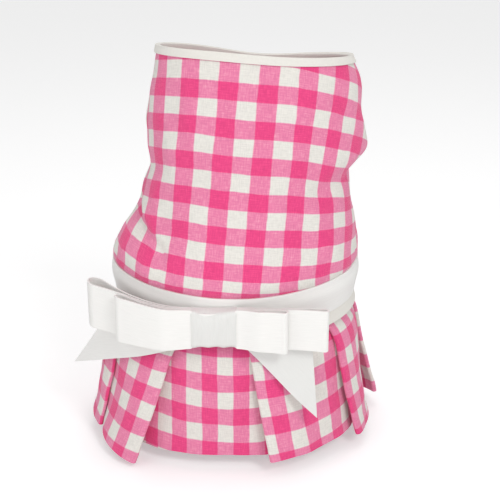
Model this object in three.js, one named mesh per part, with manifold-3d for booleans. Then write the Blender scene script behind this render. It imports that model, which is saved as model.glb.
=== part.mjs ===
import * as THREE from 'three';
import { mergeVertices } from 'three/addons/utils/BufferGeometryUtils.js';
import Module from 'manifold-3d';

// Dog dress: a gingham tube with a bound neck and two bound leg openings, a satin sash over a
// waistband, a knife-pleated skirt and a flat double bow with two ribbon tails.
// Millimetres, +Z up. The origin is the middle of the neck opening, -Y is the side with the bow
// and +X is to the right as the bow is looked at.

// Cloth, ribbon and the clearance between pieces that lie on each other
const CLOTH_WALL = 1.2;
const RIBBON_WALL = 1.0;
const BINDING_WALL = 1.0;
const GAP = 0.4;

// Reach of the tube from its centre line to the side, the front and the back
const NECK_SIDE = 63;
const NECK_FRONT = 41;
const NECK_BACK = 38;
const WAIST_SIDE = 79.3;
const WAIST_FRONT = 61.1;
const WAIST_BACK = 53;
const HEM_LEFT = 101;
const HEM_RIGHT = 93;
const HEM_FRONT = 75;
const HEM_BACK = 68;
const SQUARENESS = 2.2;

// Heights along the dress
const BODICE_LENGTH = 151.5;
const SEAM_ALLOWANCE = 12.6;
const SKIRT_LENGTH = 92;
const NECK_TILT = 3.5;
const NECK_BACK_DROP = 12;
const WAIST_TILT = 4;
const WAIST_RISE = 6;
const LEAN = 13;

// Share of the bodice above the waist over which its folds fade out
const FOLD_FADE = 0.08;

// Neck binding and leg openings. The neck binding stands square to the cloth at NECK_SLOPE_AT.
const BINDING_WIDTH = 4.2;
const BINDING_SLOT = 0.55;
const LEG_WIDTH = 36;
const LEG_HEIGHT = 44;
const LEG_ANGLE = 115;
const LEG_DROP = 52;
const LEG_BINDING_WIDTH = 5;
const LEG_BINDING_SLOT = 1.05;
const NECK_SLOPE_AT = 0.02;
const LEG_PLUG_DEPTH = 4 * CLOTH_WALL;

// Sash and the waistband below it
const SASH_WIDTH = 21;
const SASH_BULGE = 2.6;
const WAISTBAND_WIDTH = 21.5;
const WAISTBAND_DROP = 8.5;
const WAISTBAND_FLARE = 2.4;

// Pleats of the skirt. A panel sinks by PANEL_SINK layers before it goes under the next fold, and
// FRONT_SAG is the front panel's share of the sag.
const PLEAT_UNDERLAP = 16;
const PLEAT_GAP = 0.9;
const SKIRT_EASE = 0.2;
const PLEAT_LIFT = 10;
const PLEAT_SAG = 8;
const PANEL_SINK = -1.4;
const FRONT_SAG = 0.35;

// Bow
const RIBBON_WIDTH = 28;
const BOW_OFFSET = 26;
const BOW_DROP = 15;
const BOW_LEFT_REACH = 70;
const BOW_RIGHT_REACH = 71;
const BOW_LEFT_BEND = 30;
const BOW_RIGHT_BEND = -3;
const BOW_LEFT_RISE = 4.5;
const BOW_LEFT_SPREAD = 1.10;
const BOW_NARROW = 0.95;
const FRONT_LOOP_LEFT = 53;
const FRONT_LOOP_RIGHT = 45;
const LOOP_PUFF = 2.2;
const KNOT_WIDTH = 29;
const KNOT_HEIGHT = 25;
const TAIL_LEFT_REACH = 93;
const TAIL_RIGHT_REACH = 67.5;
const TAIL_LEAN = 0.17;
const TAIL_LEAN_START = 0.75;

// Faces round the tube and across it
const COLUMNS = 52;
const LEG_STEPS = 32;

// Sections of the bodice from the neck (down 0) to the waist (down 1). The waist column blends the
// neck's reach into the waist's, and the other columns multiply that reach on each side.
const BODICE_SECTIONS = [
  { down: 0.00, waist: 0.00, left: 1.000, right: 1.000, front: 1.000, back: 1.000 },
  { down: 0.10, waist: 0.05, left: 1.003, right: 1.098, front: 1.050, back: 1.020 },
  { down: 0.25, waist: 0.15, left: 1.008, right: 1.124, front: 1.085, back: 1.030 },
  { down: 0.42, waist: 0.30, left: 0.955, right: 1.158, front: 1.072, back: 1.010 },
  { down: 0.53, waist: 0.40, left: 0.896, right: 1.030, front: 1.050, back: 1.010 },
  { down: 0.62, waist: 0.50, left: 0.917, right: 1.016, front: 1.049, back: 1.020 },
  { down: 0.77, waist: 0.75, left: 0.937, right: 1.033, front: 1.060, back: 1.045 },
  { down: 0.87, waist: 0.95, left: 1.005, right: 1.032, front: 1.105, back: 1.090 },
  { down: 0.94, waist: 1.00, left: 1.054, right: 1.044, front: 1.137, back: 1.130 },
  { down: 0.98, waist: 1.00, left: 1.050, right: 1.045, front: 1.090, back: 1.090 },
  { down: 1.00, waist: 1.00, left: 1.000, right: 1.000, front: 1.000, back: 1.000 },
];

// Folds pressed into the bodice, each along a line from one angle and height to another. Width,
// height and step are shares of the front reach at the neck: height raises the cloth along the
// line, and step raises it above the line and sinks it below.
const BODICE_FOLDS = [
  {
    name: 'left crease', angle: -86, down: 0.70, toAngle: -44, toDown: 0.83,
    width: 0.13, height: -0.05, step: 0.09,
  },
  {
    name: 'left roll', angle: -84, down: 0.83, toAngle: -50, toDown: 0.92,
    width: 0.18, height: 0.05, step: 0,
  },
  {
    name: 'right pinch', angle: 88, down: 0.54, toAngle: 52, toDown: 0.60,
    width: 0.16, height: -0.03, step: 0.02,
  },
  {
    name: 'right roll', angle: 90, down: 0.42, toAngle: 58, toDown: 0.46,
    width: 0.22, height: 0.03, step: 0,
  },
];

// Sections of the sash from its upper edge to its lower one: how far it bulges
const SASH_SECTIONS = [
  { down: 0.00, bulge: 0.70 },
  { down: 0.30, bulge: 1.00 },
  { down: 0.65, bulge: 0.50 },
  { down: 1.00, bulge: 0.00 },
];

// Heights of the rows of faces down the bodice
const BODICE_ROWS = [
  0, 0.05, 0.11, 0.18, 0.25, 0.33, 0.41, 0.47, 0.53, 0.59, 0.65, 0.72, 0.79, 0.85, 0.9, 0.94, 0.97,
  0.985, 1,
];

// Skirt sections from the seam (down 0) to the hem (down 1): the share of the way from the
// waist's reach to the hem's, and of the lift that opens the pleats
const SKIRT_SECTIONS = [
  { down: 0.00, flare: 0.00, lift: 0.00 },
  { down: 0.17, flare: 0.00, lift: 0.00 },
  { down: 0.24, flare: 0.34, lift: 0.04 },
  { down: 0.33, flare: 0.54, lift: 0.12 },
  { down: 0.50, flare: 0.64, lift: 0.30 },
  { down: 0.75, flare: 0.79, lift: 0.62 },
  { down: 1.00, flare: 1.00, lift: 1.00 },
];
const SKIRT_ROWS = [0, 0.17, 0.24, 0.33, 0.5, 0.75, 1];

// Folded edges of the pleats on either side of the front, as angles at the waist and at the hem,
// with shares of the lift and the sag of each edge at the hem
const RIGHT_PLEATS = [
  { waist: 7, hem: 18, lift: 1.0, sag: 0.2 },
  { waist: 55, hem: 63, lift: 0.6, sag: 0.25 },
  { waist: 98, hem: 100, lift: 1.3, sag: 0.2 },
  { waist: 142, hem: 140, lift: 0.6, sag: 0.2 },
];
const LEFT_PLEATS = [
  { waist: 30, hem: 46, lift: 1.4, sag: 1.1 },
  { waist: 64, hem: 72, lift: 0.3, sag: 0.2 },
  { waist: 102, hem: 106, lift: 0.5, sag: 0.1 },
  { waist: 142, hem: 140, lift: 0.6, sag: 0.2 },
];

// Stations across a panel, from the underlap's inner edge to the next fold: shares of the way, of
// the sink, and of the fold's lift and sag
const PANEL_STATIONS = [
  { along: 0.00, sink: 0.00, lift: 0.80, sag: 0.60 },
  { along: 0.35, sink: 0.35, lift: 0.55, sag: 0.30 },
  { along: 0.70, sink: 0.75, lift: 0.20, sag: 0.00 },
];

// Loops of the bow: reach to each side, layer counted out from the sash, and how far the rear and
// the front of the loop puff out and each end opens, as shares of LOOP_PUFF. The ends open over the
// last part of the reach, from OPEN_START.
const BACK_LOOPS = {
  left: BOW_LEFT_REACH, right: BOW_RIGHT_REACH, layer: 2,
  rearPuff: 0.5, frontPuff: 0.9, leftOpen: 3.6, rightOpen: 0.8,
};
const FRONT_LOOPS = {
  left: FRONT_LOOP_LEFT, right: FRONT_LOOP_RIGHT, layer: 4,
  rearPuff: 1.3, frontPuff: 1.9, leftOpen: 1.2, rightOpen: 0.8,
};
const OPEN_START = 0.7;
const TAIL_LAYER = 1;
const KNOT_LAYER = 6;
const LOOP_STATIONS = [0, 0.27, 0.54, 0.78, 1];
const KNOT_STATIONS = [-0.5, -0.2, 0.1, 0.35, 0.5];

// Edges of the two tails: along is a share of the tail's reach, and drop a share of the ribbon's
// width below the middle of the bow
const LEFT_TAIL = [
  { lowAlong: 0.02, lowDrop: 0.34, highAlong: 0.02, highDrop: -0.34 },
  { lowAlong: 0.16, lowDrop: 0.36, highAlong: 0.16, highDrop: -0.34 },
  { lowAlong: 0.26, lowDrop: 0.57, highAlong: 0.26, highDrop: -0.42 },
  { lowAlong: 0.46, lowDrop: 0.90, highAlong: 0.42, highDrop: -0.22 },
  { lowAlong: 0.68, lowDrop: 1.31, highAlong: 0.59, highDrop: 0.07 },
  { lowAlong: 0.86, lowDrop: 1.77, highAlong: 0.70, highDrop: 0.22 },
  { lowAlong: 1.00, lowDrop: 2.20, highAlong: 0.77, highDrop: 0.34 },
];
const RIGHT_TAIL = [
  { lowAlong: 0.03, lowDrop: 0.34, highAlong: 0.03, highDrop: -0.34 },
  { lowAlong: 0.22, lowDrop: 0.36, highAlong: 0.22, highDrop: -0.34 },
  { lowAlong: 0.34, lowDrop: 0.65, highAlong: 0.50, highDrop: -0.34 },
  { lowAlong: 0.55, lowDrop: 1.16, highAlong: 0.72, highDrop: 0.02 },
  { lowAlong: 0.78, lowDrop: 1.72, highAlong: 0.86, highDrop: 0.36 },
  { lowAlong: 1.00, lowDrop: 2.18, highAlong: 0.94, highDrop: 0.59 },
];

// Numbers and interpolation
const radians = (angle) => angle * Math.PI / 180;
const mix = (a, b, share) => a + (b - a) * share;
const clamp = (value, low, high) => Math.min(high, Math.max(low, value));

function smooth(share) {
  const s = clamp(share, 0, 1);
  return s * s * (3 - 2 * s);
}

// Value of a table's column at a height, on one smooth curve through its rows
function column(table, key, name, at) {
  const last = table.length - 1;
  let row = 0;
  while (row < last - 1 && at > table[row + 1][key]) row += 1;
  const slope = (i) => {
    const before = table[Math.max(0, i - 1)];
    const after = table[Math.min(last, i + 1)];
    return (after[name] - before[name]) / (after[key] - before[key]);
  };
  const step = table[row + 1][key] - table[row][key];
  const s = clamp((at - table[row][key]) / step, 0, 1);
  const above = table[row][name];
  const below = table[row + 1][name];
  const bend = (s ** 3 - 2 * s ** 2 + s) * slope(row) * step + (s ** 3 - s ** 2) * slope(row + 1) * step;
  return above === below ? above : mix(above, below, smooth(s)) + bend;
}

// Distance from the centre line to a rounded oval's edge in a direction (0 front, 90 right)
function ovalReach(angle, reach) {
  const across = Math.sin(angle);
  const ahead = Math.cos(angle);
  const side = across < 0 ? reach.left : reach.right;
  const depth = ahead < 0 ? reach.back : reach.front;
  const sum = Math.abs(across / side) ** SQUARENESS + Math.abs(ahead / depth) ** SQUARENESS;
  return sum ** (-1 / SQUARENESS);
}

const backness = (angle) => (1 - Math.cos(angle)) / 2;
const neckHeight = (angle) => -NECK_TILT * Math.sin(angle) - NECK_BACK_DROP * backness(angle);
const waistHeight = (angle) => (
  -BODICE_LENGTH + 2 * WAIST_TILT * backness(angle) + WAIST_RISE * Math.sin(angle) ** 2
);

function polar(angle, reach, centre, height) {
  return new THREE.Vector3(centre + reach * Math.sin(angle), -reach * Math.cos(angle), height);
}

// Waist oval, grown outwards by an offset
const waistReach = (offset) => ({
  left: WAIST_SIDE + offset,
  right: WAIST_SIDE + offset,
  front: WAIST_FRONT + offset,
  back: WAIST_BACK + offset,
});
const waistPoint = (angle, offset, drop) => (
  polar(angle, ovalReach(angle, waistReach(offset)), -LEAN, waistHeight(angle) - drop)
);

// Bodice

function foldHeight(angle, down, girth) {
  let height = 0;
  for (const fold of BODICE_FOLDS) {
    const from = new THREE.Vector2(radians(fold.angle) * girth, fold.down * BODICE_LENGTH);
    const to = new THREE.Vector2(radians(fold.toAngle) * girth, fold.toDown * BODICE_LENGTH);
    const here = new THREE.Vector2(angle * girth, down * BODICE_LENGTH).sub(from);
    const line = to.clone().sub(from);
    const along = here.dot(line) / line.lengthSq();
    const aside = here.cross(line) / line.length();
    const width = fold.width * NECK_FRONT;
    const ends = Math.exp(-((Math.max(0, along - 1, -along) * line.length() / width) ** 2));
    const bump = fold.height + fold.step * aside / width;
    height += bump * NECK_FRONT * Math.exp(-((aside / width) ** 2)) * ends;
  }
  return height;
}

function bodiceReach(down) {
  const waist = column(BODICE_SECTIONS, 'down', 'waist', down);
  const part = (name) => column(BODICE_SECTIONS, 'down', name, down);
  return {
    left: mix(NECK_SIDE, WAIST_SIDE, waist) * part('left'),
    right: mix(NECK_SIDE, WAIST_SIDE, waist) * part('right'),
    front: mix(NECK_FRONT, WAIST_FRONT, waist) * part('front'),
    back: mix(NECK_BACK, WAIST_BACK, waist) * part('back'),
  };
}

// Middle of the bodice cloth; below the waist it runs straight down inside the waistband
function bodicePoint(angle, down) {
  const signed = Math.atan2(Math.sin(angle), Math.cos(angle));
  const share = Math.min(down, 1);
  const reach = ovalReach(angle, bodiceReach(share)) - CLOTH_WALL / 2;
  const height = mix(neckHeight(angle), waistHeight(angle), share) - Math.max(0, down - 1) * BODICE_LENGTH;
  const fold = foldHeight(signed, share, reach) * smooth((1 - share) / FOLD_FADE);
  return polar(angle, reach + fold, -LEAN * share, height);
}

// Closed solids from grids of points

// Direction across a sheet at each point of its grid, from the steps around it
function sheetNormals(grid, closed) {
  const rows = grid.length;
  const columns = grid[0].length;
  const around = (j) => (closed ? (j + columns) % columns : clamp(j, 0, columns - 1));
  const step = (from, to) => to.clone().sub(from).normalize();
  return grid.map((line, i) => line.map((point, j) => {
    const along = step(line[around(j - 1)], point).add(step(point, line[around(j + 1)]));
    const above = grid[Math.max(0, i - 1)][j];
    const below = grid[Math.min(rows - 1, i + 1)][j];
    return step(above, point).add(step(point, below)).cross(along).normalize();
  }));
}

// Skin between two grids of the same size, with its rims: closed grids run round and meet
function skin(outer, inner, closed) {
  const rows = outer.length;
  const columns = outer[0].length;
  const points = [...outer.flat(), ...inner.flat()];
  const at = (i, j, side) => side * rows * columns + i * columns + (j % columns);
  const faces = [];
  const quad = (a, b, c, d) => faces.push(a, b, c, a, c, d);
  const spans = closed ? columns : columns - 1;
  for (let j = 0; j < spans; j += 1) {
    for (let i = 0; i < rows - 1; i += 1) {
      quad(at(i, j, 0), at(i + 1, j, 0), at(i + 1, j + 1, 0), at(i, j + 1, 0));
      quad(at(i, j, 1), at(i, j + 1, 1), at(i + 1, j + 1, 1), at(i + 1, j, 1));
    }
    quad(at(0, j, 0), at(0, j + 1, 0), at(0, j + 1, 1), at(0, j, 1));
    quad(at(rows - 1, j, 0), at(rows - 1, j, 1), at(rows - 1, j + 1, 1), at(rows - 1, j + 1, 0));
  }
  if (!closed) {
    for (let i = 0; i < rows - 1; i += 1) {
      quad(at(i, 0, 0), at(i, 0, 1), at(i + 1, 0, 1), at(i + 1, 0, 0));
      quad(at(i, spans, 0), at(i + 1, spans, 0), at(i + 1, spans, 1), at(i, spans, 1));
    }
  }
  return surface(points, faces);
}

// Ring of quads through closed loops of points, the last loop meeting the first
function ring(loops) {
  const count = loops.length;
  const sides = loops[0].length;
  const faces = [];
  for (let i = 0; i < count; i += 1) {
    for (let j = 0; j < sides; j += 1) {
      const a = i * sides + j;
      const b = i * sides + ((j + 1) % sides);
      const c = ((i + 1) % count) * sides + ((j + 1) % sides);
      const d = ((i + 1) % count) * sides + j;
      faces.push(a, b, c, a, c, d);
    }
  }
  return surface(loops.flat(), faces);
}

function surface(points, faces) {
  const geometry = new THREE.BufferGeometry();
  const places = points.flatMap((p) => [p.x, p.y, p.z]);
  geometry.setAttribute('position', new THREE.Float32BufferAttribute(places, 3));
  geometry.setIndex(faces);
  return geometry;
}

// Sheet of cloth: a grid of points thickened by half its wall to each side
function sheet(grid, wall, closed) {
  const normals = sheetNormals(grid, closed);
  const shifted = (side) => grid.map((line, i) => line.map((p, j) => (
    p.clone().addScaledVector(normals[i][j], side * wall / 2)
  )));
  return skin(shifted(1), shifted(-1), closed);
}

const anglesRound = (count) => Array.from({ length: count }, (_, j) => j / count * 2 * Math.PI);
const tube = (rows, place, wall) => (
  sheet(rows.map((row) => anglesRound(COLUMNS).map((angle) => place(angle, row))), wall, true)
);

// Bindings: a strip folded over a raw edge, with a slot that the cloth sits in

// Corners of the folded strip: out along the cloth from its edge, and across the cloth
function bindingProfile(width, clearance) {
  const slot = CLOTH_WALL / 2 + clearance;
  const skinSide = slot + BINDING_WALL;
  const nose = -clearance - BINDING_WALL;
  return [
    [width, skinSide], [width, slot], [-clearance, slot], [-clearance, -slot],
    [width, -slot], [width, -skinSide], [nose, -skinSide], [nose, skinSide],
  ];
}

const slopeStep = 0.01;

function bodiceNormal(angle, down) {
  const along = bodicePoint(angle + slopeStep, down).sub(bodicePoint(angle - slopeStep, down));
  const above = bodicePoint(angle, Math.max(0, down - slopeStep));
  return bodicePoint(angle, down + slopeStep).sub(above).cross(along).normalize();
}

function neckBinding() {
  const profile = bindingProfile(BINDING_WIDTH, BINDING_SLOT);
  return ring(anglesRound(COLUMNS).map((angle) => profile.map(([out, across]) => {
    const place = bodicePoint(angle, Math.max(0, out) / BODICE_LENGTH);
    place.z += Math.max(0, -out);
    return place.addScaledVector(bodiceNormal(angle, NECK_SLOPE_AT), across);
  })));
}

// Point near a leg opening: a turn round it, out from its edge and across the cloth
function legPoint(side, turn, out, across) {
  const centre = radians(side * LEG_ANGLE);
  const reach = ovalReach(centre, bodiceReach(LEG_DROP / BODICE_LENGTH));
  const angle = centre + side * (LEG_WIDTH / 2 + out) * Math.cos(turn) / reach;
  const down = (LEG_DROP + (LEG_HEIGHT / 2 + out) * Math.sin(turn)) / BODICE_LENGTH;
  return bodicePoint(angle, down).addScaledVector(bodiceNormal(angle, down), across);
}

function legTurns(side) {
  const turns = Array.from({ length: LEG_STEPS }, (_, i) => i / LEG_STEPS * 2 * Math.PI);
  return side > 0 ? turns : turns.reverse();
}

function legBinding(side) {
  const profile = bindingProfile(LEG_BINDING_WIDTH, LEG_BINDING_SLOT);
  const loops = legTurns(side).map((turn) => (
    profile.map(([out, across]) => legPoint(side, turn, out, across))
  ));
  return ring(loops.reverse());
}

// Plug that cuts a leg opening through the cloth
function legPlug(side) {
  const turns = legTurns(side);
  const rim = (across) => turns.map((turn) => legPoint(side, turn, 0, across));
  const middle = (across) => {
    const centre = new THREE.Vector3();
    rim(across).forEach((p) => centre.addScaledVector(p, 1 / LEG_STEPS));
    return centre;
  };
  const depth = LEG_PLUG_DEPTH;
  const points = [...rim(depth), ...rim(-depth), middle(depth), middle(-depth)];
  const faces = [];
  for (let j = 0; j < LEG_STEPS; j += 1) {
    const next = (j + 1) % LEG_STEPS;
    faces.push(j, LEG_STEPS + next, LEG_STEPS + j, j, next, LEG_STEPS + next);
    faces.push(2 * LEG_STEPS, next, j, 2 * LEG_STEPS + 1, LEG_STEPS + j, LEG_STEPS + next);
  }
  return surface(points, faces);
}

const wasm = await Module();
wasm.setup();

function solid(geometry) {
  const merged = mergeVertices(geometry, 1e-5);
  return new wasm.Manifold(new wasm.Mesh({
    numProp: 3,
    vertProperties: new Float32Array(merged.attributes.position.array),
    triVerts: new Uint32Array(merged.index.array),
  }));
}

function fromSolid(body) {
  const mesh = body.getMesh();
  const geometry = new THREE.BufferGeometry();
  geometry.setAttribute('position', new THREE.BufferAttribute(mesh.vertProperties, 3));
  geometry.setIndex(new THREE.BufferAttribute(mesh.triVerts, 1));
  return geometry;
}

function bodice() {
  const rows = [...BODICE_ROWS, 1 + SEAM_ALLOWANCE / BODICE_LENGTH];
  const cloth = solid(tube(rows, bodicePoint, CLOTH_WALL));
  return fromSolid(cloth.subtract(solid(legPlug(1))).subtract(solid(legPlug(-1))));
}

// Sash and waistband, each a tube round the waist outside the one before

const BAND_OFFSET = GAP + CLOTH_WALL / 2;
const SASH_OFFSET = GAP + CLOTH_WALL + GAP + RIBBON_WALL / 2;

// The waistband hangs straight inside the sash and spreads where it shows below it
function waistband() {
  const rows = [
    { drop: WAISTBAND_DROP, spread: 0 },
    { drop: GAP + SASH_WIDTH, spread: 0 },
    { drop: WAISTBAND_DROP + WAISTBAND_WIDTH, spread: 1 },
  ];
  const place = (angle, row) => (
    waistPoint(angle, BAND_OFFSET + row.spread * WAISTBAND_FLARE, row.drop)
  );
  return tube(rows, place, CLOTH_WALL);
}

function sash() {
  const place = (angle, row) => (
    waistPoint(angle, SASH_OFFSET + row.bulge * SASH_BULGE, GAP + row.down * SASH_WIDTH)
  );
  return tube(SASH_SECTIONS, place, RIBBON_WALL);
}

// Pleated skirt: one strip folded back and forth round the waist

// Folded strip from the front centre to the back centre: angle, layer and shares of lift and sag
function pleatedHalf(pleats, down) {
  const edge = (pleat) => radians(mix(pleat.waist, pleat.hem, down));
  const reach = mix(WAIST_FRONT, HEM_FRONT, column(SKIRT_SECTIONS, 'down', 'flare', down));
  const underlap = PLEAT_UNDERLAP / reach;
  const tip = (CLOTH_WALL + PLEAT_GAP) / 2 / reach;
  const path = [{ angle: 0, layer: -1, lift: 0, sag: FRONT_SAG }];
  const add = (angle, layer, lift, sag) => path.push({ angle, layer, lift, sag });
  add(edge(pleats[0]) / 2, PANEL_SINK, 0, FRONT_SAG);
  pleats.forEach((pleat, k) => {
    const start = edge(pleat);
    const end = k + 1 < pleats.length ? edge(pleats[k + 1]) : Math.PI;
    const hidden = start + Math.min(underlap, (end - start) / 2);
    const inner = k === 0 ? FRONT_SAG : 0;
    add(start, -2, 0, inner);
    add(hidden, -2, 0, inner);
    add(hidden + tip, -1.5, 0, inner);
    add(hidden, -1, 0, inner);
    add(start, -1, pleat.lift, pleat.sag);
    add(start - tip, -0.5, pleat.lift, pleat.sag);
    add(start, 0, pleat.lift, pleat.sag);
    const sink = k + 1 < pleats.length ? PANEL_SINK : 0;
    PANEL_STATIONS.forEach((row) => {
      add(mix(hidden, end, row.along), sink * row.sink, pleat.lift * row.lift, pleat.sag * row.sag);
    });
  });
  add(Math.PI, 0, 0, 0);
  return path;
}

function pleatedPath(down) {
  const right = pleatedHalf(RIGHT_PLEATS, down);
  const left = pleatedHalf(LEFT_PLEATS, down).map((p) => ({ ...p, angle: 2 * Math.PI - p.angle }));
  return [...right, ...left.reverse().slice(1, -1)];
}

function skirtPoint(spot, down) {
  const flare = column(SKIRT_SECTIONS, 'down', 'flare', down);
  const opening = column(SKIRT_SECTIONS, 'down', 'lift', down);
  const reach = {
    left: mix(WAIST_SIDE, HEM_LEFT, flare),
    right: mix(WAIST_SIDE, HEM_RIGHT, flare),
    front: mix(WAIST_FRONT, HEM_FRONT, flare),
    back: mix(WAIST_BACK, HEM_BACK, flare),
  };
  const base = (angle) => (
    polar(angle, ovalReach(angle, reach) - CLOTH_WALL / 2 - SKIRT_EASE, -LEAN, 0)
  );
  const ahead = base(spot.angle + slopeStep).sub(base(spot.angle - slopeStep)).normalize();
  const out = spot.layer * (CLOTH_WALL + PLEAT_GAP) + spot.lift * opening * PLEAT_LIFT;
  const top = waistHeight(spot.angle) - SEAM_ALLOWANCE - GAP - CLOTH_WALL / 2;
  const hem = -BODICE_LENGTH - SEAM_ALLOWANCE - SKIRT_LENGTH - spot.sag * PLEAT_SAG * opening;
  const place = base(spot.angle).add(new THREE.Vector3(ahead.y, -ahead.x, 0).multiplyScalar(out));
  place.z = mix(top, hem, down);
  return place;
}

function skirt() {
  const grid = SKIRT_ROWS.map((down) => pleatedPath(down).map((spot) => skirtPoint(spot, down)));
  return sheet(grid, CLOTH_WALL, true);
}

// Bow: layers of ribbon stacked out from the sash at the front, held by the knot

const LAYER = RIBBON_WALL + GAP;
const BOW_BASE = WAIST_FRONT + SASH_OFFSET + SASH_BULGE + RIBBON_WALL / 2 + GAP;
const BOW_HEIGHT = -BODICE_LENGTH - BOW_DROP;

// Point of the bow: across from the knot, out from the sash and up from the bow's middle
function bowPoint(across, out, up) {
  const left = across < 0;
  const bend = left ? BOW_LEFT_BEND : BOW_RIGHT_BEND;
  const reach = left ? BOW_LEFT_REACH : BOW_RIGHT_REACH;
  const wing = reach - KNOT_WIDTH / 2;
  const beyond = Math.max(0, Math.abs(across) - KNOT_WIDTH / 2);
  const curl = (beyond / wing) ** 2;
  const rise = left ? BOW_LEFT_RISE * curl : 0;
  const slope = 2 * bend * beyond * Math.sign(across) / wing ** 2;
  const outwards = new THREE.Vector3(slope, -1, 0).normalize();
  const guide = new THREE.Vector3(across - BOW_OFFSET, bend * curl - BOW_BASE, BOW_HEIGHT + rise + up);
  return guide.addScaledVector(outwards, out);
}

const layerDepth = (layer) => RIBBON_WALL / 2 + layer * LAYER;

// The ribbon is gathered within the knot's half width, spreads over a stretch beside it and puffs
// out over a longer one
const GATHER_END = KNOT_WIDTH / 2 + GAP;
const SPREAD_STRETCH = 0.12 * RIBBON_WIDTH;
const PUFF_STRETCH = 0.6 * RIBBON_WIDTH;
const KNOT_CORNER = 0.6 * LAYER;
const spreadShare = (across) => smooth((Math.abs(across) - GATHER_END) / SPREAD_STRETCH);

// Half height of a loop: gathered where the knot holds it, and widening from there to its end
function loopHalfHeight(across, reach) {
  const gathered = KNOT_HEIGHT / 2 - RIBBON_WALL - 2 * GAP;
  const outwards = clamp((Math.abs(across) - GATHER_END) / (reach - GATHER_END), 0, 1);
  const spread = mix(BOW_NARROW, across < 0 ? BOW_LEFT_SPREAD : 1, outwards);
  return mix(gathered, spread * RIBBON_WIDTH / 2, spreadShare(across));
}

// Flat loop of ribbon from its left end to its right end, with a rear and a front layer
function bowLoop(loop) {
  const spreadEnd = GATHER_END + SPREAD_STRETCH;
  const wing = (reach) => [GATHER_END, ...LOOP_STATIONS.map((share) => mix(spreadEnd, reach, share))];
  const stations = [...wing(loop.left).reverse().map((across) => -across), ...wing(loop.right)];
  const puff = (across) => LOOP_PUFF * smooth((Math.abs(across) - GATHER_END) / PUFF_STRETCH);
  const rearDepth = (across) => layerDepth(loop.layer) + loop.rearPuff * puff(across);
  const opening = (across) => {
    const reach = across < 0 ? loop.left : loop.right;
    const share = Math.max(0, Math.abs(across) / reach - OPEN_START) / (1 - OPEN_START);
    return LOOP_PUFF * (across < 0 ? loop.leftOpen : loop.rightOpen) * share ** 2;
  };
  const frontDepth = (across) => (
    layerDepth(loop.layer + 1) + loop.frontPuff * puff(across) + opening(across)
  );
  const path = stations.map((across) => [across, rearDepth(across)]);
  const bulge = (across) => (frontDepth(across) - rearDepth(across)) / 2;
  const endTip = (across) => (
    [across + Math.sign(across) * bulge(across), rearDepth(across) + bulge(across)]
  );
  path.push(endTip(loop.right));
  [...stations].reverse().forEach((across) => path.push([across, frontDepth(across)]));
  path.push(endTip(-loop.left));
  const grid = [1, 0, -1].map((up) => path.map(([across, out]) => (
    bowPoint(across, out, up * loopHalfHeight(across, across < 0 ? loop.left : loop.right))
  )));
  return sheet(grid.map((line) => line.reverse()), RIBBON_WALL, true);
}

// Knot: the same ribbon wrapped once round the loops
function bowKnot() {
  const rear = layerDepth(0);
  const front = layerDepth(KNOT_LAYER);
  const half = KNOT_HEIGHT / 2 - RIBBON_WALL / 2;
  const corner = KNOT_CORNER;
  const path = [
    [rear, half - corner], [rear + corner, half], [front - corner, half], [front, half - corner],
    [front + corner / 3, 0],
    [front, corner - half], [front - corner, -half],
    [rear + corner, -half], [rear, corner - half], [rear, 0],
  ];
  const grid = KNOT_STATIONS.map((share) => path.map(([out, up]) => bowPoint(share * KNOT_WIDTH, out, up)));
  return sheet(grid, RIBBON_WALL, true);
}

// Tail: a ribbon end between a low edge and a high edge, leaning out over the skirt
function bowTail(side, table, reach) {
  const shares = [0, 1 / 3, 2 / 3, 1];
  const grid = shares.map((share) => table.map((row) => {
    const across = side * reach * mix(row.highAlong, row.lowAlong, share);
    const up = -RIBBON_WIDTH * mix(row.highDrop, row.lowDrop, share);
    const lean = TAIL_LEAN * Math.max(0, -up - TAIL_LEAN_START * RIBBON_WIDTH);
    return bowPoint(across, layerDepth(TAIL_LAYER) + lean, up);
  }));
  return sheet(side > 0 ? grid : grid.map((line) => line.reverse()), RIBBON_WALL, false);
}

// Materials and the assembly

const GINGHAM = new THREE.MeshStandardMaterial({ color: 0xf26fa6, roughness: 0.9, metalness: 0 });
const SATIN = new THREE.MeshStandardMaterial({ color: 0xf6f4ef, roughness: 0.4, metalness: 0 });
const WHITE_COTTON = new THREE.MeshStandardMaterial({ color: 0xf1eee6, roughness: 0.85, metalness: 0 });

const group = new THREE.Group();

function addPiece(name, geometry, material) {
  const mesh = new THREE.Mesh(geometry, material.clone());
  mesh.name = name;
  group.add(mesh);
}

addPiece('bodice', bodice(), GINGHAM);
addPiece('neck_binding', neckBinding(), WHITE_COTTON);
addPiece('leg_binding_left', legBinding(-1), WHITE_COTTON);
addPiece('leg_binding_right', legBinding(1), WHITE_COTTON);
addPiece('waistband', waistband(), WHITE_COTTON);
addPiece('waist_sash', sash(), SATIN);
addPiece('skirt', skirt(), GINGHAM);
addPiece('bow_tail_left', bowTail(-1, LEFT_TAIL, TAIL_LEFT_REACH), SATIN);
addPiece('bow_tail_right', bowTail(1, RIGHT_TAIL, TAIL_RIGHT_REACH), SATIN);
addPiece('bow_back_loops', bowLoop(BACK_LOOPS), SATIN);
addPiece('bow_front_loops', bowLoop(FRONT_LOOPS), SATIN);
addPiece('bow_knot', bowKnot(), SATIN);

export default group;
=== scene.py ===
import math

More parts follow.
